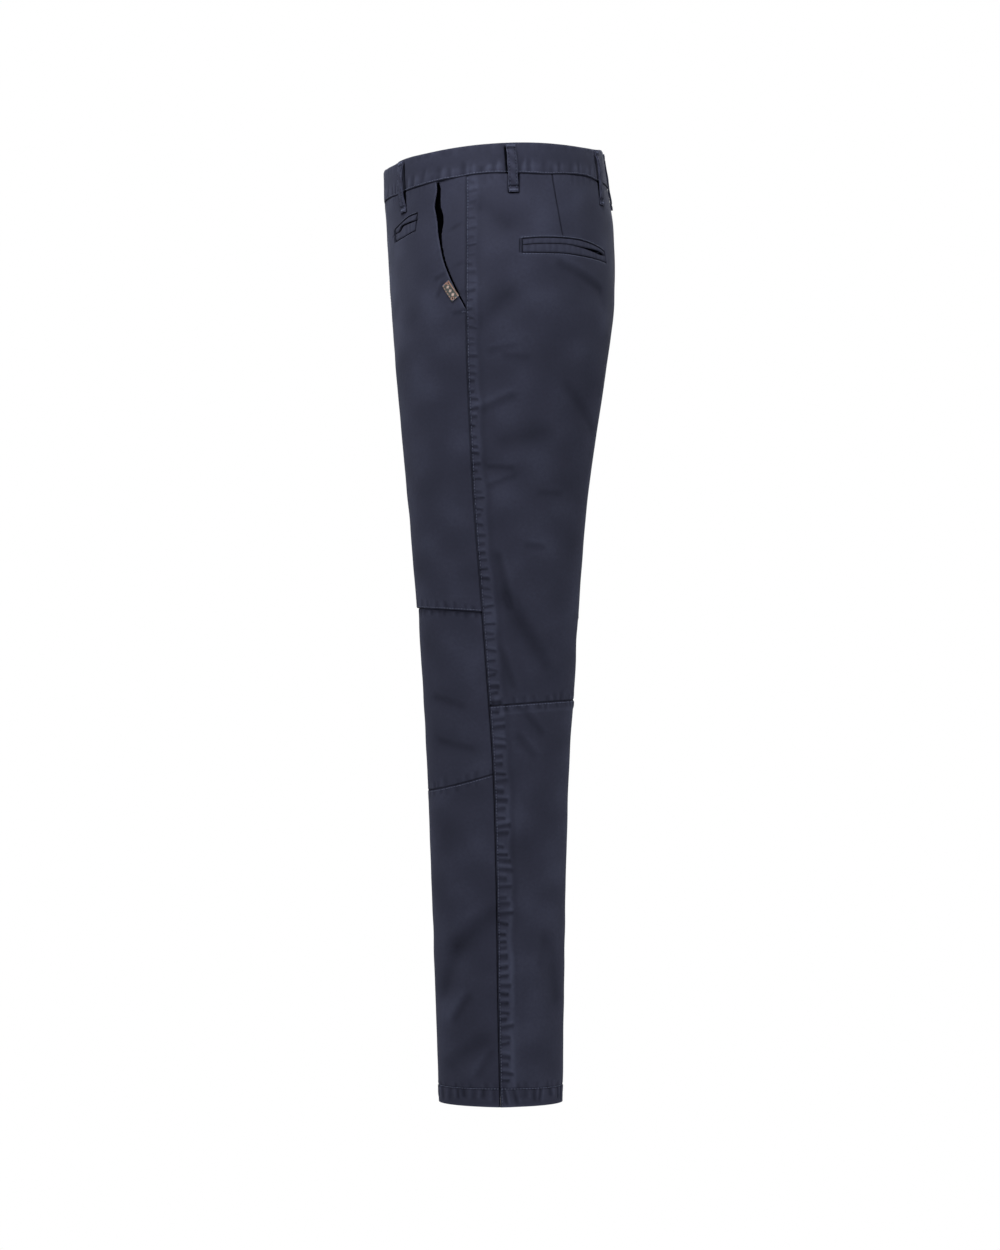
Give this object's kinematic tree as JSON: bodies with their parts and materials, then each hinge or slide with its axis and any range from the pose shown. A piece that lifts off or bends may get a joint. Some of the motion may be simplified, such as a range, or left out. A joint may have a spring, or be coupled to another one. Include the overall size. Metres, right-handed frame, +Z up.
{
  "type": "chino trousers",
  "caption": "Slim chino trousers kept in worn form, hollow and open at waist and hems, with slanted hip pockets, welted back pockets, belt loops and shaped knee seams.",
  "frame": {"origin": "middle of the waist opening, halfway up the waistband, where the wearer's waist holds the trousers", "axes": "+Z up along the body, -Y towards the front, +X towards the wearer's left"},
  "size_m": [0.3726, 0.2582, 1.0421],
  "materials": {
    "cotton_twill": "garment-washed cotton twill with a soft sheen",
    "woven_tab": "plain woven tab with a copper-coloured border"
  },
  "bodies": {
    "root": {"waistband_left": "cotton_twill", "front_upper_left": "cotton_twill", "front_knee_left": "cotton_twill", "front_lower_left": "cotton_twill", "back_upper_left": "cotton_twill", "back_lower_left": "cotton_twill", "pocket_facing_left": "cotton_twill", "back_welt_upper_left": "cotton_twill", "back_welt_lower_left": "cotton_twill", "belt_loop_front_left": "cotton_twill", "belt_loop_side_left": "cotton_twill", "belt_loop_back_left": "cotton_twill", "waistband_right": "cotton_twill", "front_upper_right": "cotton_twill", "front_knee_right": "cotton_twill", "front_lower_right": "cotton_twill", "back_upper_right": "cotton_twill", "back_lower_right": "cotton_twill", "pocket_facing_right": "cotton_twill", "back_welt_upper_right": "cotton_twill", "back_welt_lower_right": "cotton_twill", "belt_loop_front_right": "cotton_twill", "belt_loop_side_right": "cotton_twill", "belt_loop_back_right": "cotton_twill", "belt_loop_centre_back": "cotton_twill", "coin_welt_upper": "cotton_twill", "coin_welt_lower": "cotton_twill", "pocket_tab": "woven_tab"}
  },
  "joints": []
}
